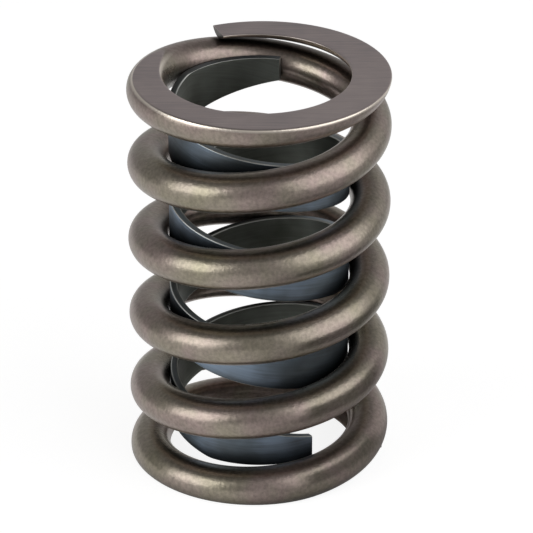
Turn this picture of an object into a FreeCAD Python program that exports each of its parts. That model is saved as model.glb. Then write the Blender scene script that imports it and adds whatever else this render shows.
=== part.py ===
"""Engine valve spring with a flat-wire damper inside it.

The spring is a right-hand coil of round wire with closed ends, ground flat square to
its axis. The damper is a left-hand coil of flat wire that fits just inside the spring
and rubs on its coils. Millimetres, +Z up along the coil axis, origin at the centre of
the lower ground end. Seen from above, angles run anticlockwise from +X.
"""
import FreeCAD, Part
import math
import os

# Spring: round wire, closed ends
outside_diameter = 31.8
wire_diameter = 4.88
free_height = 50.6
spring_turns = 6.32
closed_turns = 0.6
opening_turns = 0.49
closed_end_gap = 0.1
ground_tip_thickness = 0.9
spring_tip_angle = 111.4

# Damper: flat wire, wound the other way
damper_clearance = 0.1
ribbon_thickness = 0.9
ribbon_width = 6.15
ribbon_edge_radius = 0.2
damper_turns = 3.64
damper_end_turns = 0.3
damper_end_gap = 6.7
damper_below_top = 2.55
damper_above_seat = 3.1
damper_ground_tip_width = 2.9
damper_tip_angle = 76.0

# How finely a coil's centreline follows its formula
points_per_turn = 24

RIGHT_HAND = -1
LEFT_HAND = 1


def opening_share(turns, closed, opening):
    """Turns' worth of open lead gained after so many turns from a tip.

    The lead stays at its end value over the closed turns and then changes to its open
    value along a smooth S over the opening turns, so this is that S, integrated.
    """
    x = min(max((turns - closed) / opening, 0.0), 1.0)
    return opening * (x ** 3 - x ** 4 / 2) + max(turns - closed - opening, 0.0)


def coil_centreline(radius, top_z, bottom_z, turns, closed, opening, first_turn_fall,
                    tip_angle, hand):
    """B-spline centreline of a coil with two like ends, parametrised by turns from its top tip.

    Its fall over half the coil and its fall over the first turn fix the two leads:
    the end lead near each tip and the open lead between them.
    """
    half = turns / 2
    half_share = opening_share(half, closed, opening)
    first_share = opening_share(1.0, closed, opening)
    half_fall = (top_z - bottom_z) / 2
    spread = half_share - half * first_share
    open_lead = (half_fall * (1 - first_share) - first_turn_fall * (half - half_share)) / spread
    end_lead = (first_turn_fall * half_share - half_fall * first_share) / spread

    def fall(turns_from_tip):
        share = opening_share(turns_from_tip, closed, opening)
        return end_lead * (turns_from_tip - share) + open_lead * share

    steps = math.ceil(turns * points_per_turn)
    places = [turns * step / steps for step in range(steps + 1)]
    points = []
    for place in places:
        if place < half:
            height = top_z - fall(place)
        else:
            height = bottom_z + fall(turns - place)
        angle = math.radians(tip_angle + hand * 360 * place)
        points.append(FreeCAD.Vector(radius * math.cos(angle), radius * math.sin(angle), height))
    curve = Part.BSplineCurve()
    curve.interpolate(Points=points, Parameters=places)
    return curve


def turn_edges(curve):
    """The centreline as a wire of edges no longer than half a turn."""
    turns = curve.LastParameter
    pieces = math.ceil(turns * 2)
    cuts = [turns * piece / pieces for piece in range(pieces + 1)]
    return Part.Wire([curve.toShape(start, end) for start, end in zip(cuts, cuts[1:])])


def ground(coil, low, high, reach):
    """A coil with everything above and below its two ground faces taken off."""
    between_faces = Part.makeCylinder(reach, high - low, FreeCAD.Vector(0, 0, low))
    return coil.common(between_faces).Solids[0]


def flat_wire_section(centre, outwards, width, thickness, edge_radius):
    """Rounded rectangle of flat wire in the upright plane through the coil axis."""
    up = FreeCAD.Vector(0, 0, 1)
    along = up.cross(outwards)
    corner = centre - outwards * (thickness / 2) - up * (width / 2)
    sides = Part.makePolygon([
        corner, corner + outwards * thickness, corner + outwards * thickness + up * width,
        corner + up * width, corner])
    block = Part.Face(sides).extrude(along)
    long_edges = [edge for edge in block.Edges if edge.tangentAt(edge.FirstParameter).isParallel(along, 1e-6)]
    rounded = block.makeFillet(edge_radius, long_edges)
    near = min(rounded.Faces, key=lambda face: abs((face.CenterOfMass - centre).dot(along)))
    return near.OuterWire


def outer_spring():
    """Round wire swept along its centreline, then ground flat at both ends."""
    wire_radius = wire_diameter / 2
    coil_radius = outside_diameter / 2 - wire_radius
    tip_overrun = wire_radius - ground_tip_thickness
    curve = coil_centreline(
        coil_radius, free_height + tip_overrun, -tip_overrun, spring_turns, closed_turns,
        opening_turns, wire_diameter + closed_end_gap, spring_tip_angle, RIGHT_HAND)
    section = Part.Wire(Part.makeCircle(wire_radius, curve.value(0), curve.tangent(0)[0]))
    sweep = Part.BRepOffsetAPI.MakePipeShell(turn_edges(curve))
    sweep.setFrenetMode(True)
    sweep.add(section)
    sweep.build()
    sweep.makeSolid()
    return ground(sweep.shape(), 0, free_height, outside_diameter)


def damper():
    """Flat wire carried round inside the spring with its width upright, ends ground flat."""
    bore_radius = outside_diameter / 2 - wire_diameter
    coil_radius = bore_radius - damper_clearance - ribbon_thickness / 2
    low = damper_above_seat
    high = free_height - damper_below_top
    tip_overrun = ribbon_width / 2 - damper_ground_tip_width
    curve = coil_centreline(
        coil_radius, high + tip_overrun, low - tip_overrun, damper_turns, 0,
        damper_end_turns, ribbon_width + damper_end_gap, damper_tip_angle, LEFT_HAND)
    start = curve.value(0)
    outwards = FreeCAD.Vector(start.x, start.y, 0).normalize()
    section = flat_wire_section(start, outwards, ribbon_width, ribbon_thickness, ribbon_edge_radius)
    sweep = Part.BRepOffsetAPI.MakePipeShell(turn_edges(curve))
    sweep.setBiNormalMode(FreeCAD.Vector(0, 0, 1))
    sweep.add(section)
    sweep.build()
    sweep.makeSolid()
    return ground(sweep.shape(), low, high, outside_diameter)


os.makedirs("parts", exist_ok=True)
outer_spring().exportStep("parts/outer_spring.step")
damper().exportStep("parts/damper.step")
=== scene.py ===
"""Engine valve spring with its flat-wire damper: shapes, finishes, light and camera.

Metres, +Z up along the coils' axis, with the lower ground end at height zero.
"""
import math

import bpy
import numpy as np
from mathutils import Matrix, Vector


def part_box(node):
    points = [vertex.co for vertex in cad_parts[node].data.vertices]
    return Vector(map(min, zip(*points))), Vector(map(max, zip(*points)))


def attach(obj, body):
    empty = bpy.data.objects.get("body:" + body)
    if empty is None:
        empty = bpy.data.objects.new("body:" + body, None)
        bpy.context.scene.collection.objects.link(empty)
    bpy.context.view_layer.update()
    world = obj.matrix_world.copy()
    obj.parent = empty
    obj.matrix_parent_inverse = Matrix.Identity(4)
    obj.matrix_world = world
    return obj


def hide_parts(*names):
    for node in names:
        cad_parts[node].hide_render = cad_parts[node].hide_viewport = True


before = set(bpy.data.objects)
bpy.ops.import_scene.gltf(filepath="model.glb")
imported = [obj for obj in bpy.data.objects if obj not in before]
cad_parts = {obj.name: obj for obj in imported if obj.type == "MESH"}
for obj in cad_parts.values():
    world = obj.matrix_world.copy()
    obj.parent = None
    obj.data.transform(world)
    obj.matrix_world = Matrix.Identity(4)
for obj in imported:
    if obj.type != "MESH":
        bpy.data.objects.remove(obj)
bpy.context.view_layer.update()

# The spring
# Round chrome-silicon wire, coiled cold, shot peened and tinted brown in the oven. Its
# first and last turns are closed, and both ends are ground flat, square to the axis.

MM = 0.001

spring_low, spring_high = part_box("outer_spring")
seat_height = spring_low[2]
free_height = spring_high[2]
outside_radius = min(-spring_low[0], -spring_low[1], spring_high[0], spring_high[1])
wire_radius = 2.44 * MM
coil_radius = outside_radius - wire_radius
spring_turns = 6.32
closed_turns = 0.6
opening_turns = 0.49
closed_end_gap = 0.1 * MM
ground_tip_thickness = 0.9 * MM
spring_tip_angle = math.radians(111.4)
RIGHT_HAND = -1
crease_angle = math.radians(35)

# Each ground flat has broken edges, sharp where the flat lies low in the wire, at its thin
# tip, and blunt where it lies high. Levels are the flat's height above the wire's centre.
# A cut shallower than the least cut is left out, and where the ground plane passes this
# much above the wire, the points are even round it.
tip_edge_radius = 0.09 * MM
ground_edge_radius = 0.28 * MM
sharp_edge_level = -0.9 * MM
blunt_edge_level = 0.7 * MM
least_cut = 0.02 * MM
even_points_height = 0.8 * MM


def opening_share(turns, closed, opening):
    """Turns' worth of open lead gained after so many turns from a tip.

    The lead changes from its end value to its open value along a smooth S over the
    opening turns, and this is that S added up: the opening turns times x cubed less
    half of x to the fourth, and one for one after them.
    """
    x = np.clip((turns - closed) / opening, 0, 1)
    return opening * (x ** 3 - x ** 4 / 2) + np.maximum(turns - closed - opening, 0)


def coil_line(rows, top_z, bottom_z, turns, closed, opening, first_turn_fall, tip_angle, hand):
    """Angle and height of a coil's centreline at equal steps from its top tip.

    The fall from a tip is the end lead times the turns so far, plus the opening share
    times what the open lead has over the end lead. Half the height and the fall over
    the first turn fix both leads, and the lower half is the upper half turned over.
    """
    half = turns / 2
    half_share = opening_share(half, closed, opening)
    first_share = opening_share(1.0, closed, opening)
    half_fall = (top_z - bottom_z) / 2
    spread = half_share - half * first_share
    open_lead = (half_fall * (1 - first_share) - first_turn_fall * (half - half_share)) / spread
    end_lead = (first_turn_fall * half_share - half_fall * first_share) / spread
    place = np.linspace(0, turns, rows)
    from_tip = np.minimum(place, turns - place)
    share = opening_share(from_tip, closed, opening)
    fall = end_lead * from_tip + (open_lead - end_lead) * share
    height = np.where(place < half, top_z - fall, bottom_z + fall)
    return tip_angle + hand * 2 * math.pi * place, height


def coil_frames(radius, angle, height):
    """Centre, outward and cross directions, and length so far, for each row of a coil.

    Outward is level and away from the axis. The cross direction is square to it and to
    the tangent, which comes from the change of height with angle, and points upwards.
    """
    level = np.zeros_like(angle)
    outward = np.stack([np.cos(angle), np.sin(angle), level], axis=1)
    onward = np.stack([-np.sin(angle), np.cos(angle), level], axis=1)
    rise = np.gradient(height, angle) / radius
    scale = 1 / np.sqrt(1 + rise ** 2)
    cross = -(rise * scale)[:, None] * onward
    cross[:, 2] = scale
    centre = outward * radius
    centre[:, 2] = height
    step = np.abs(np.diff(angle)) * radius * np.sqrt(1 + (rise[1:] + rise[:-1]) ** 2 / 4)
    return centre, outward, cross, np.concatenate([[0], np.cumsum(step)])


def tube_mesh(name, points, along):
    """Mesh of a closed tube from a grid of points: rows along it, columns around it.

    Column j joins column j + 1 and the last joins the first. The first and last rows
    are also flat end caps. UV holds metres along the wire and metres around it.
    """
    rows, columns, _ = points.shape
    row = np.arange(rows - 1)[:, None]
    column = np.arange(columns)[None, :]
    following = (column + 1) % columns
    quads = np.stack([row * columns + column, (row + 1) * columns + column,
                      (row + 1) * columns + following, row * columns + following], axis=2)
    first_cap = list(range(columns))
    last_cap = [rows * columns - 1 - j for j in range(columns)]
    mesh = bpy.data.meshes.new(name)
    mesh.from_pydata(points.reshape(-1, 3).tolist(), [],
                     quads.reshape(-1, 4).tolist() + [first_cap, last_cap])
    side = np.linalg.norm(np.roll(points, -1, axis=1) - points, axis=2)
    lap = np.concatenate([np.zeros((rows, 1)), np.cumsum(side, axis=1)], axis=1)
    length = np.repeat(along[:, None], columns + 1, axis=1)
    grid = np.stack([length, lap], axis=2)
    quad_uv = np.stack([grid[:-1, :-1], grid[1:, :-1], grid[1:, 1:], grid[:-1, 1:]], axis=2)
    cap_uv = np.concatenate([grid[0, :-1], grid[-1, :-1][::-1]])
    layer = mesh.uv_layers.new(name="wire")
    layer.data.foreach_set("uv", np.concatenate([quad_uv.reshape(-1, 2), cap_uv]).ravel())
    mesh.polygons.foreach_set("use_smooth", np.ones(len(mesh.polygons), bool))
    mesh.set_sharp_from_angle(angle=crease_angle)
    return mesh


def smooth_step(x):
    """Zero below 0, one above 1, and three x squared less two x cubed between them."""
    x = np.clip(x, 0, 1)
    return x * x * (3 - 2 * x)


def ground_section(room, face_columns, edge_columns, round_columns):
    """Turn and reach of the points round a wire section with a flat ground on it.

    The flat lies at room above the wire's centre. A small arc breaks each of its edges:
    it touches the flat and, from inside, the round wire, so its centre is at a distance
    of wire radius less edge radius from the wire's centre. Its radius grows along a
    smooth step as the flat rises from the sharp level to the blunt one. Turn is the
    angle from the middle of the flat, and reach the distance from the wire's centre.
    Where the flat has not begun, the points are even round a full circle.
    """
    level = np.minimum(room, wire_radius - least_cut)[:, None]
    blunt = smooth_step((level - sharp_edge_level) / (blunt_edge_level - sharp_edge_level))
    broken = tip_edge_radius + (ground_edge_radius - tip_edge_radius) * blunt
    inner = wire_radius - broken
    arc_across = np.sqrt(inner ** 2 - (level - broken) ** 2)
    arc_end = np.arctan2(arc_across, level - broken)
    face = np.linspace(0, 1, face_columns, endpoint=False)[None, :]
    edge = arc_end * np.linspace(0, 1, edge_columns, endpoint=False)[None, :]
    lap = arc_end + (math.pi - arc_end) * np.linspace(0, 1, round_columns, endpoint=False)[None, :]
    across = np.concatenate([arc_across * face, arc_across + broken * np.sin(edge),
                             wire_radius * np.sin(lap)], axis=1)
    up = np.concatenate([level + 0 * face, level - broken + broken * np.cos(edge),
                         wire_radius * np.cos(lap)], axis=1)
    half = across.shape[1]
    turn = np.arctan2(across, up)
    reach = np.hypot(across, up)
    lowest = np.full((len(room), 1), math.pi)
    turn = np.concatenate([turn, lowest, -turn[:, :0:-1]], axis=1)
    reach = np.concatenate([reach, 0 * lowest + wire_radius, reach[:, :0:-1]], axis=1)
    even = np.concatenate([np.linspace(0, math.pi, half + 1),
                           np.linspace(-math.pi, 0, half, endpoint=False)[1:]])[None, :]
    flat_share = smooth_step(1 - (room - wire_radius) / even_points_height)[:, None]
    turn = flat_share * turn + (1 - flat_share) * even
    reach = np.where(room[:, None] < wire_radius - least_cut, reach, wire_radius)
    return turn, reach


def spring_grid(rows, face_columns, edge_columns, round_columns):
    """Points of the round wire with both ends ground off, and the wire's length so far.

    Each row is a ground section set square to the wire, with its flat turned up over
    the upper half of the coil and down over the lower half. The flat's level is the
    height from the wire's centre to the ground plane, over the cross direction's rise.
    """
    overrun = wire_radius - ground_tip_thickness
    angle, height = coil_line(
        rows, free_height + overrun, seat_height - overrun, spring_turns, closed_turns,
        opening_turns, 2 * wire_radius + closed_end_gap, spring_tip_angle, RIGHT_HAND)
    centre, outward, cross, along = coil_frames(coil_radius, angle, height)
    upper = np.arange(rows) < rows / 2
    room = np.where(upper, free_height - height, height - seat_height) / cross[:, 2]
    turn, reach = ground_section(room, face_columns, edge_columns, round_columns)
    half = turn.shape[1] // 2
    turn = np.where(upper[:, None], turn, np.roll(turn, half, axis=1) + math.pi)
    reach = np.where(upper[:, None], reach, np.roll(reach, half, axis=1))
    points = (centre[:, None, :]
              + (reach * np.sin(turn))[:, :, None] * outward[:, None, :]
              + (reach * np.cos(turn))[:, :, None] * cross[:, None, :])
    points[:, :, 2] = np.clip(points[:, :, 2], seat_height, free_height)
    return points, along


spring_points, spring_along = spring_grid(rows=1050, face_columns=10, edge_columns=4,
                                          round_columns=30)
spring_mesh = tube_mesh("spring_wire", spring_points, spring_along)
spring = bpy.data.objects.new("spring_coil", spring_mesh)
bpy.context.scene.collection.objects.link(spring)


def linear(colour):
    """An sRGB hex colour as linear red, green, blue and alpha."""
    parts = [int(colour[start:start + 2], 16) / 255 for start in (1, 3, 5)]
    return [p / 12.92 if p <= 0.04045 else ((p + 0.055) / 1.055) ** 2.4 for p in parts] + [1.0]


def add_node(tree, kind, settings=None, **links):
    """Adds a node, sets its attributes, and sets or links its inputs.

    An input goes by its name, or by its place: i0 is the first and i1 the second.
    """
    node = tree.nodes.new(kind)
    for name, value in (settings or {}).items():
        setattr(node, name, value)
    for name, value in links.items():
        numbered = name[0] == "i" and name[1:].isdigit()
        socket = node.inputs[int(name[1:]) if numbered else name.replace("_", " ")]
        if isinstance(value, bpy.types.NodeSocket):
            tree.links.new(value, socket)
        else:
            socket.default_value = value
    return node


def ramp_stops(ramp_node, stops):
    """Sets a colour ramp's stops from (place, hex colour) pairs."""
    ramp = ramp_node.color_ramp
    while len(ramp.elements) > 1:
        ramp.elements.remove(ramp.elements[-1])
    for index, (place, colour) in enumerate(stops):
        element = ramp.elements[0] if index == 0 else ramp.elements.new(place)
        element.position = place
        element.color = linear(colour)
    return ramp_node.outputs["Color"]


def winding_share(tree, normal, place):
    """How far a normal points along the winding: 1 on a cut end face, 0 on the wire's sides.

    The winding runs square to the axis and to the line from the axis to the place. The
    share steps up as the normal's part along it passes from 0.8 to 0.9.
    """
    onward = add_node(tree, "ShaderNodeVectorMath", {"operation": "CROSS_PRODUCT"},
                      i0=(0, 0, 1), i1=place).outputs["Vector"]
    onward = add_node(tree, "ShaderNodeVectorMath", {"operation": "NORMALIZE"},
                      i0=onward).outputs["Vector"]
    along = add_node(tree, "ShaderNodeVectorMath", {"operation": "DOT_PRODUCT"},
                     i0=onward, i1=normal).outputs["Value"]
    size = add_node(tree, "ShaderNodeMath", {"operation": "ABSOLUTE"}, i0=along).outputs["Value"]
    return add_node(tree, "ShaderNodeMapRange", Value=size, From_Min=0.8,
                    From_Max=0.9).outputs["Result"]


def inward_share(tree, normal, place):
    """1 where the surface faces the coils' axis and 0 where it faces away.

    The share steps up softly as the normal's part along the level direction outwards
    falls from 0.1 to -0.2.
    """
    level = add_node(tree, "ShaderNodeVectorMath", {"operation": "MULTIPLY"}, i0=place,
                     i1=(1, 1, 0)).outputs["Vector"]
    outwards = add_node(tree, "ShaderNodeVectorMath", {"operation": "NORMALIZE"},
                        i0=level).outputs["Vector"]
    facing = add_node(tree, "ShaderNodeVectorMath", {"operation": "DOT_PRODUCT"},
                      i0=outwards, i1=normal).outputs["Value"]
    return add_node(tree, "ShaderNodeMapRange", Value=facing, From_Min=0.1,
                    From_Max=-0.2).outputs["Result"]


def crevice_share(tree, distance):
    """How open the surface lies to its surroundings within a distance: 0 deep in a gap, 1 clear."""
    # The materials darken their colour by this, as painted shade in gaps and creases.
    return add_node(tree, "ShaderNodeAmbientOcclusion", {"samples": 8},
                    Distance=distance).outputs["AO"]


def new_material(name):
    """An empty node material with its Principled shader, and its node tree."""
    material = bpy.data.materials.new(name)
    material.use_nodes = True
    tree = material.node_tree
    return material, tree, tree.nodes["Principled BSDF"]


def peened_spring_steel():
    """Chrome-silicon spring steel, peened and heat tinted brown, with mauve-grey ground ends.

    Peening gives the eye a soft, slightly grainy shine, the tint drifts from olive to
    mauve, and the ground faces show straight marks and a bright edge, partly bare steel
    from wear and partly a painted highlight. Painted shade darkens the colour in the gaps
    between parts. Real dimples are about 0.2 mm across and real drawing and grinding marks
    under 0.1 mm. Those are too fine for the render, so they are drawn as coarse as the
    sizes below.
    """
    tint_patch = 9 * MM
    dimple_width = 0.45 * MM
    dimple_depth = 0.06 * MM
    drawing_mark_length = 7 * MM
    drawing_mark_width = 0.22 * MM
    drawing_mark_depth = 0.015 * MM
    grinding_mark_length = 6 * MM
    grinding_mark_width = 0.25 * MM
    grinding_mark_depth = 0.01 * MM
    grinding_mark_turn = 0.5
    face_skin = 0.02 * MM
    face_fade = 0.08 * MM
    worn_highlight_top = 0.15 * MM
    worn_highlight_foot = 0.45 * MM
    painted_shade_reach = 2.2 * MM

    material, tree, shader = new_material("peened_spring_steel")
    place = add_node(tree, "ShaderNodeTexCoord").outputs["Object"]
    wire = add_node(tree, "ShaderNodeUVMap", {"uv_map": "wire"}).outputs["UV"]
    normal = add_node(tree, "ShaderNodeNewGeometry").outputs["Normal"]
    tint = add_node(tree, "ShaderNodeTexNoise", Vector=place, Scale=1 / tint_patch, Detail=3.0,
                    Roughness=0.55).outputs["Fac"]
    dimples = add_node(tree, "ShaderNodeTexNoise", Vector=place, Scale=1 / dimple_width,
                       Detail=2.0, Roughness=0.6).outputs["Fac"]
    along_wire = add_node(tree, "ShaderNodeMapping", Vector=wire,
                          Scale=(1 / drawing_mark_length, 1 / drawing_mark_width, 1.0))
    drawn = add_node(tree, "ShaderNodeTexNoise", Vector=along_wire.outputs["Vector"], Scale=1.0,
                     Detail=3.0, Roughness=0.6).outputs["Fac"]
    oxide = ramp_stops(add_node(tree, "ShaderNodeValToRGB", Fac=tint),
                       [(0.30, "#8f8977"), (0.45, "#958c80"), (0.58, "#998a84"), (0.72, "#90887c")])
    mottle = add_node(tree, "ShaderNodeMapRange", Value=dimples, From_Min=0.3, From_Max=0.7,
                      To_Min=0.8, To_Max=1.14).outputs["Result"]
    oxide = add_node(tree, "ShaderNodeHueSaturation", Color=oxide, Value=mottle).outputs["Color"]

    # The wire's inner side has rubbed on the damper, so it is a little smoother.
    rubbed = inward_share(tree, normal, place)
    peened = add_node(tree, "ShaderNodeMapRange", Value=rubbed, To_Min=0.5,
                      To_Max=0.3).outputs["Result"]
    peened_bump = add_node(tree, "ShaderNodeBump", Strength=peened, Distance=dimple_depth,
                           Height=dimples).outputs["Normal"]
    drawn_bump = add_node(tree, "ShaderNodeBump", Strength=0.3, Distance=drawing_mark_depth,
                          Height=drawn, Normal=peened_bump).outputs["Normal"]
    matt = add_node(tree, "ShaderNodeMapRange", Value=tint, To_Min=0.25,
                    To_Max=0.38).outputs["Result"]
    smoother = add_node(tree, "ShaderNodeMapRange", Value=rubbed, To_Min=1.0,
                        To_Max=0.9).outputs["Result"]
    oxide_rough = add_node(tree, "ShaderNodeMath", {"operation": "MULTIPLY"}, i0=matt,
                           i1=smoother).outputs["Value"]

    # The ground faces are the skin at the top and at the bottom, with marks straight across.
    height = add_node(tree, "ShaderNodeSeparateXYZ", Vector=place).outputs["Z"]
    top = add_node(tree, "ShaderNodeMapRange", Value=height, From_Min=free_height - face_fade,
                   From_Max=free_height - face_skin).outputs["Result"]
    bottom = add_node(tree, "ShaderNodeMapRange", Value=height, From_Min=seat_height + face_fade,
                      From_Max=seat_height + face_skin).outputs["Result"]
    ground = add_node(tree, "ShaderNodeMath", {"operation": "MAXIMUM"}, i0=top,
                      i1=bottom).outputs["Value"]
    across_face = add_node(tree, "ShaderNodeMapping", Vector=place,
                           Rotation=(0, 0, grinding_mark_turn),
                           Scale=(1 / grinding_mark_length, 1 / grinding_mark_width, 1.0))
    grinding = add_node(tree, "ShaderNodeTexNoise", Vector=across_face.outputs["Vector"],
                        Scale=1.0, Detail=3.0, Roughness=0.6).outputs["Fac"]
    ground_bump = add_node(tree, "ShaderNodeBump", Strength=0.2, Distance=grinding_mark_depth,
                           Height=grinding).outputs["Normal"]
    clouded = add_node(tree, "ShaderNodeMix", i0=0.5, i2=grinding, i3=tint).outputs[0]
    bare = ramp_stops(add_node(tree, "ShaderNodeValToRGB", Fac=clouded),
                      [(0.36, "#a59d9e"), (0.5, "#b8abaa"), (0.64, "#c4b7b4")])

    # The upper face's edge is painted bright where the surface turns down from the face:
    # partly bare steel from wear, partly a painted highlight.
    beside = add_node(tree, "ShaderNodeMapRange", Value=height,
                      From_Min=free_height - worn_highlight_foot,
                      From_Max=free_height - worn_highlight_top).outputs["Result"]
    upright = add_node(tree, "ShaderNodeSeparateXYZ", Vector=normal).outputs["Z"]
    steep = add_node(tree, "ShaderNodeMapRange", Value=upright, From_Min=0.96,
                     From_Max=0.8).outputs["Result"]
    worn_and_highlight = add_node(tree, "ShaderNodeMath", {"operation": "MULTIPLY"}, i0=beside,
                    i1=steep).outputs["Value"]

    edge_wear_and_highlight = add_node(tree, "ShaderNodeMix", {"data_type": "RGBA"}, i0=worn_and_highlight, i6=oxide,
                     i7=linear("#e6dccf")).outputs[2]
    tipped = add_node(tree, "ShaderNodeMix", {"data_type": "RGBA"},
                      i0=winding_share(tree, normal, place), i6=edge_wear_and_highlight,
                      i7=linear("#57534f")).outputs[2]
    faced = add_node(tree, "ShaderNodeMix", {"data_type": "RGBA"}, i0=ground, i6=tipped,
                     i7=bare).outputs[2]
    # Painted shade: the colour runs to near black deep in the gaps between coils and parts.
    colour = add_node(tree, "ShaderNodeMix", {"data_type": "RGBA"},
                      i0=crevice_share(tree, painted_shade_reach), i6=linear("#1d1c14"),
                      i7=faced).outputs[2]
    bumped = add_node(tree, "ShaderNodeMix", {"data_type": "VECTOR"}, i0=ground, i4=drawn_bump,
                      i5=ground_bump).outputs[1]
    rough = add_node(tree, "ShaderNodeMix", i0=ground, i2=oxide_rough, i3=0.45).outputs[0]
    tree.links.new(colour, shader.inputs["Base Color"])
    tree.links.new(rough, shader.inputs["Roughness"])
    tree.links.new(bumped, shader.inputs["Normal"])
    shader.inputs["Metallic"].default_value = 1.0
    # A little sheen lightens the rims, as light scattered by the peened skin does.
    shader.inputs["Sheen Weight"].default_value = 0.12
    shader.inputs["Sheen Roughness"].default_value = 0.2
    shader.inputs["Sheen Tint"].default_value = linear("#efe6da")
    return material


spring_mesh.materials.append(peened_spring_steel())
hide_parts("outer_spring")
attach(spring, "root")

# The damper
# Flat spring steel, rolled with rounded edges, coiled the other way and blued by heat.
# It rubs on the inside of the spring, and its two ends are ground flat like the spring's.

damper_low, damper_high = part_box("damper")
ribbon_outer_radius = min(-damper_low[0], -damper_low[1], damper_high[0], damper_high[1])
ribbon_thickness = 0.9 * MM
ribbon_width = 6.15 * MM
ribbon_edge_radius = 0.2 * MM
ribbon_ground_edge = 0.05 * MM
damper_turns = 3.64
damper_end_turns = 0.3
damper_end_gap = 6.7 * MM
damper_ground_tip_width = 2.9 * MM
damper_tip_angle = math.radians(76.0)
LEFT_HAND = 1


def ribbon_section(top, bottom, top_corner, bottom_corner, corner_columns, side_columns):
    """Points of an upright rounded rectangle, given its top and bottom and its corner radii.

    Across is the distance outwards from the middle of the thickness, and up the height.
    Each corner is a quarter circle of its own radius, and the straight side after it
    runs on evenly to the next corner.
    """
    half = ribbon_thickness / 2
    corners = []
    for side, corner, level, start in ((1, bottom_corner, bottom + bottom_corner, -90),
                                       (1, top_corner, top - top_corner, 0),
                                       (-1, top_corner, top - top_corner, 90),
                                       (-1, bottom_corner, bottom + bottom_corner, 180)):
        turn = np.radians(start + 90 * np.linspace(0, 1, corner_columns))[None, :]
        across = side * (half - corner)[:, None] + corner[:, None] * np.cos(turn)
        up = level[:, None] + corner[:, None] * np.sin(turn)
        corners.append(np.stack([across, up], axis=2))
    parts = []
    for corner, following in zip(corners, corners[1:] + corners[:1]):
        share = np.linspace(0, 1, side_columns + 2)[1:-1][None, :, None]
        parts += [corner, corner[:, -1:] * (1 - share) + following[:, :1] * share]
    section = np.concatenate(parts, axis=1)
    return section[:, :, 0], section[:, :, 1]


def damper_grid(rows, corner_columns, side_columns):
    """Points of the ribbon carried round the coil, and its length so far.

    Its top and bottom follow the coil at half the width above and below the centreline
    and stop at the ground planes, where each corner shrinks to a small broken edge.
    """
    low = damper_low[2]
    high = damper_high[2]
    overrun = ribbon_width / 2 - damper_ground_tip_width
    angle, height = coil_line(
        rows, high + overrun, low - overrun, damper_turns, 0.0, damper_end_turns,
        ribbon_width + damper_end_gap, damper_tip_angle, LEFT_HAND)
    radius = ribbon_outer_radius - ribbon_thickness / 2
    _, outward, _, along = coil_frames(radius, angle, height)
    top = height + ribbon_width / 2
    bottom = height - ribbon_width / 2
    top_corner = np.clip(high - top + ribbon_edge_radius, ribbon_ground_edge, ribbon_edge_radius)
    bottom_corner = np.clip(bottom - low + ribbon_edge_radius, ribbon_ground_edge,
                            ribbon_edge_radius)
    across, up = ribbon_section(np.minimum(top, high), np.maximum(bottom, low), top_corner,
                                bottom_corner, corner_columns, side_columns)
    points = outward[:, None, :] * (radius + across)[:, :, None]
    points[:, :, 2] = up
    return points, along


damper_points, damper_along = damper_grid(rows=700, corner_columns=6, side_columns=8)
damper_mesh = tube_mesh("flat_wire", damper_points, damper_along)
damper = bpy.data.objects.new("damper_coil", damper_mesh)
bpy.context.scene.collection.objects.link(damper)


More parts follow.
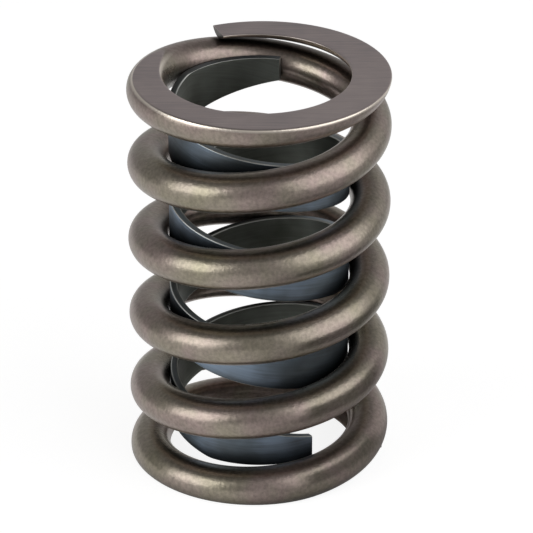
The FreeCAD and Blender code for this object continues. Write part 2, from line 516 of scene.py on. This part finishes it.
def blued_flat_steel():
    """Rolled spring steel, blued in patches by heat, with narrow edges rubbed bright and a painted
    highlight.

    It gives the eye a dull satin: blue and uneven outside, inside a greener grey that is
    partly its own tone and partly painted shade, with a thin pale line along each edge,
    partly rubbed bare and partly a painted highlight. Painted shade darkens the colour in
    the gaps between parts. Real rolling lines are under 0.1 mm apart, too fine for the
    render, so they are drawn as coarse as the width below.
    """
    blue_patch = 9 * MM
    rolling_line_length = 9 * MM
    rolling_line_width = 0.3 * MM
    rolling_line_depth = 0.01 * MM
    painted_shade_reach = 1.8 * MM

    material, tree, shader = new_material("blued_flat_steel")
    place = add_node(tree, "ShaderNodeTexCoord").outputs["Object"]
    wire = add_node(tree, "ShaderNodeUVMap", {"uv_map": "wire"}).outputs["UV"]
    normal = add_node(tree, "ShaderNodeNewGeometry").outputs["Normal"]
    along_wire = add_node(tree, "ShaderNodeMapping", Vector=wire,
                          Scale=(1 / rolling_line_length, 1 / rolling_line_width, 1.0))
    lines = add_node(tree, "ShaderNodeTexNoise", Vector=along_wire.outputs["Vector"], Scale=1.0,
                     Detail=3.0, Roughness=0.6).outputs["Fac"]
    patches = add_node(tree, "ShaderNodeTexNoise", Vector=place, Scale=1 / blue_patch,
                       Detail=3.0, Roughness=0.5).outputs["Fac"]
    mixed = add_node(tree, "ShaderNodeMath", {"operation": "MULTIPLY_ADD"}, i0=lines, i1=0.25,
                     i2=patches).outputs["Value"]
    blue = ramp_stops(add_node(tree, "ShaderNodeValToRGB", Fac=mixed),
                      [(0.45, "#575d61"), (0.62, "#68727b"), (0.78, "#8493a4")])
    grey = ramp_stops(add_node(tree, "ShaderNodeValToRGB", Fac=mixed),
                      [(0.45, "#53564f"), (0.78, "#7a7e79")])
    # The inner side is a darker greener grey than the blue outside: partly its own tone, partly
    # painted shade.
    sides = add_node(tree, "ShaderNodeMix", {"data_type": "RGBA"},
                     i0=inward_share(tree, normal, place), i6=blue, i7=grey).outputs[2]
    tipped = add_node(tree, "ShaderNodeMix", {"data_type": "RGBA"},
                      i0=winding_share(tree, normal, place), i6=sides,
                      i7=linear("#a8aaa6")).outputs[2]

    # The narrow edges look up and down. Their rounded corners are painted brightest:
    # partly rubbed bare, partly a painted highlight.
    upright = add_node(tree, "ShaderNodeSeparateXYZ", Vector=normal).outputs["Z"]
    narrow = add_node(tree, "ShaderNodeMath", {"operation": "ABSOLUTE"},
                      i0=upright).outputs["Value"]
    rubbed = ramp_stops(add_node(tree, "ShaderNodeValToRGB", Fac=narrow),
                        [(0.25, "#000000"), (0.5, "#ffffff"), (0.85, "#ffffff"), (0.97, "#707070")])
    edge_wear_and_highlight = add_node(tree, "ShaderNodeMix", {"data_type": "RGBA"}, i0=rubbed, i6=tipped,
                     i7=linear("#c4c6c2")).outputs[2]
    # Painted shade: the colour runs to near black deep in the gaps between the ribbon and the
    # coils.
    colour = add_node(tree, "ShaderNodeMix", {"data_type": "RGBA"},
                      i0=crevice_share(tree, painted_shade_reach), i6=linear("#1c1e1f"),
                      i7=edge_wear_and_highlight).outputs[2]
    bump = add_node(tree, "ShaderNodeBump", Strength=0.1, Distance=rolling_line_depth,
                    Height=lines).outputs["Normal"]
    tree.links.new(colour, shader.inputs["Base Color"])
    tree.links.new(bump, shader.inputs["Normal"])
    shader.inputs["Metallic"].default_value = 1.0
    shader.inputs["Roughness"].default_value = 0.46
    return material


damper_mesh.materials.append(blued_flat_steel())
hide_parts("damper")
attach(damper, "root")

# The floor and the light
# A plain pale floor and a white surround, under a wide soft lamp on the left and a nearer,
# smaller one on the right. None of it is part of the spring.

floor_half = 1.2
view_strength = 0.86
glow_strength = 0.5
painted_shadow_bearing = (0.87, -0.5, 0.0)
full_glow_distance = 0.05
faded_glow_distance = 0.35
faded_glow_share = 0.5

floor_mesh = bpy.data.meshes.new("floor")
floor_mesh.from_pydata([(-floor_half, -floor_half, 0), (floor_half, -floor_half, 0),
                        (floor_half, floor_half, 0), (-floor_half, floor_half, 0)],
                       [], [(0, 1, 2, 3)])
floor = bpy.data.objects.new("floor", floor_mesh)
bpy.context.scene.collection.objects.link(floor)

# The camera sees the floor nearly white, with the spring's shadow on it. The metal sees
# a painted glow on it around the spring, fading with distance, and no glow towards the
# right front, which makes a painted shadow there.
floor_material, floor_tree, floor_shader = new_material("pale_floor")
floor_shader.inputs["Roughness"].default_value = 0.9
floor_shader.inputs["Emission Color"].default_value = linear("#ffffff")
floor_path = add_node(floor_tree, "ShaderNodeLightPath")
in_view = floor_path.outputs["Is Camera Ray"]
floor_place = add_node(floor_tree, "ShaderNodeTexCoord").outputs["Object"]
floor_distance = add_node(floor_tree, "ShaderNodeVectorMath", {"operation": "LENGTH"},
                          i0=floor_place).outputs["Value"]
floor_bearing = add_node(floor_tree, "ShaderNodeVectorMath", {"operation": "NORMALIZE"},
                         i0=floor_place).outputs["Vector"]
towards_unlit = add_node(floor_tree, "ShaderNodeVectorMath", {"operation": "DOT_PRODUCT"},
                         i0=floor_bearing, i1=painted_shadow_bearing).outputs["Value"]
painted_glow_side = add_node(floor_tree, "ShaderNodeMapRange", {"interpolation_type": "SMOOTHSTEP"},
                    Value=towards_unlit, From_Min=0.9, From_Max=0.1, To_Min=0.0,
                    To_Max=glow_strength).outputs["Result"]
fade = add_node(floor_tree, "ShaderNodeMapRange", Value=floor_distance,
                From_Min=full_glow_distance, From_Max=faded_glow_distance, To_Min=1.0,
                To_Max=faded_glow_share).outputs["Result"]
near_glow = add_node(floor_tree, "ShaderNodeMath", {"operation": "MULTIPLY"}, i0=painted_glow_side,
                     i1=fade).outputs["Value"]
glow = add_node(floor_tree, "ShaderNodeMath", {"operation": "MULTIPLY"},
                i0=floor_path.outputs["Is Glossy Ray"], i1=near_glow).outputs["Value"]
lift = add_node(floor_tree, "ShaderNodeMath", {"operation": "MULTIPLY_ADD"}, i0=in_view,
                i1=view_strength, i2=glow).outputs["Value"]
paper = add_node(floor_tree, "ShaderNodeMix", {"data_type": "RGBA"}, i0=in_view,
                 i6=linear("#cdcdcd"), i7=linear("#8c8c8c")).outputs[2]
floor_tree.links.new(paper, floor_shader.inputs["Base Color"])
floor_tree.links.new(lift, floor_shader.inputs["Emission Strength"])
floor_mesh.materials.append(floor_material)

# The camera sees the surround white. It lights the spring softly, a little more from the
# right than from the left, and is dim overhead.
overhead_direction = (0.0, 0.25, 0.97)
overhead_strength = 0.1
side_strength = 0.46
rightward_gain = (0.18, 0.03, 0.0)

world = bpy.data.worlds.new("surround")
bpy.context.scene.world = world
world.use_nodes = True
sky = world.node_tree
soft = sky.nodes["Background"]
soft.inputs["Color"].default_value = linear("#ffffff")
towards = add_node(sky, "ShaderNodeTexCoord").outputs["Generated"]
overhead = add_node(sky, "ShaderNodeVectorMath", {"operation": "DOT_PRODUCT"}, i0=towards,
                    i1=overhead_direction).outputs["Value"]
dimmed = add_node(sky, "ShaderNodeMapRange", {"interpolation_type": "SMOOTHSTEP"},
                  Value=overhead, From_Min=0.55, From_Max=0.95, To_Min=side_strength,
                  To_Max=overhead_strength).outputs["Result"]
rightward = add_node(sky, "ShaderNodeVectorMath", {"operation": "DOT_PRODUCT"}, i0=towards,
                     i1=rightward_gain).outputs["Value"]
strength = add_node(sky, "ShaderNodeMath", {"operation": "ADD"}, i0=rightward,
                    i1=dimmed).outputs["Value"]
sky.links.new(strength, soft.inputs["Strength"])
white = add_node(sky, "ShaderNodeBackground", Color=linear("#ffffff"),
                 Strength=1.0).outputs["Background"]
sky_in_view = add_node(sky, "ShaderNodeLightPath").outputs["Is Camera Ray"]
seen = add_node(sky, "ShaderNodeMixShader", i0=sky_in_view, i1=soft.outputs["Background"],
                i2=white).outputs["Shader"]
sky.links.new(seen, sky.nodes["World Output"].inputs["Surface"])


def soft_lamp(name, distance, azimuth, elevation, width, height, radiance):
    """A rectangular area lamp at a distance from the spring's middle, which it shines on.

    Azimuth runs to the right from the camera's side, in degrees. The power is pi times
    the lamp's area times its radiance.
    """
    light = bpy.data.lights.new(name, "AREA")
    light.shape = "RECTANGLE"
    light.size = width
    light.size_y = height
    light.energy = math.pi * width * height * radiance
    lamp = bpy.data.objects.new(name, light)
    bpy.context.scene.collection.objects.link(lamp)
    turn = math.radians(azimuth)
    tilt = math.radians(elevation)
    lamp.location = (distance * math.sin(turn) * math.cos(tilt),
                     -distance * math.cos(turn) * math.cos(tilt),
                     free_height / 2 + distance * math.sin(tilt))
    lamp.rotation_euler = (math.pi / 2 - tilt, 0, turn)


soft_lamp("left_lamp", distance=0.6, azimuth=-63, elevation=21, width=0.47, height=0.42,
          radiance=2.55)
soft_lamp("right_lamp", distance=0.25, azimuth=61, elevation=27, width=0.32, height=0.31,
          radiance=1.12)

# A low grey card curves round the right of the spring, and only reflections show it. It
# keeps the right lamp's shine off the two lowest coils.
card_radius = 30 * MM
card_height = 20.5 * MM
card_lift = 0.05 * MM
card_columns = 30
card_turn = np.radians(np.linspace(28, 95, card_columns))

card_foot = np.stack([card_radius * np.sin(card_turn), -card_radius * np.cos(card_turn),
                      np.full(card_columns, card_lift)], axis=1)
card_points = np.concatenate([card_foot, card_foot + (0, 0, card_height)])
column = np.arange(card_columns - 1)
card_faces = np.stack([column, column + 1, column + 1 + card_columns, column + card_columns],
                      axis=1)
card_mesh = bpy.data.meshes.new("card")
card_mesh.from_pydata(card_points.tolist(), [], card_faces.tolist())
card = bpy.data.objects.new("card", card_mesh)
bpy.context.scene.collection.objects.link(card)
card.visible_camera = False
card.visible_diffuse = False
card.visible_shadow = False
card_material, _, card_shader = new_material("grey_card")
card_shader.inputs["Base Color"].default_value = linear("#a6a6a6")
card_shader.inputs["Roughness"].default_value = 0.9
card_mesh.materials.append(card_material)

# The camera
# It looks down on the spring through a long lens, and its shift sets the spring in the
# frame. Columns and rows are counted in the photograph's pixels from its top left corner.

photo_pixels = 533
spring_centre_column = 259.2
spring_centre_row = 262.35
pixels_across_spring = 260.9
focal_length_pixels = 4400
camera_elevation = math.radians(27.1)
metres_per_pixel = 2 * outside_radius / pixels_across_spring
camera_distance = focal_length_pixels * metres_per_pixel

camera_data = bpy.data.cameras.new("camera")
camera = bpy.data.objects.new("camera", camera_data)
bpy.context.scene.collection.objects.link(camera)
camera.location = (0, -camera_distance * math.cos(camera_elevation),
                   free_height / 2 + camera_distance * math.sin(camera_elevation))
camera.rotation_euler = (math.pi / 2 - camera_elevation, 0, 0)
camera_data.sensor_width = 36.0
camera_data.lens = camera_data.sensor_width * focal_length_pixels / photo_pixels
camera_data.shift_x = (photo_pixels / 2 - spring_centre_column) / photo_pixels
camera_data.shift_y = (spring_centre_row - photo_pixels / 2) / photo_pixels
camera_data.clip_end = 10.0
bpy.context.scene.camera = camera
bpy.context.scene.view_settings.view_transform = "Standard"
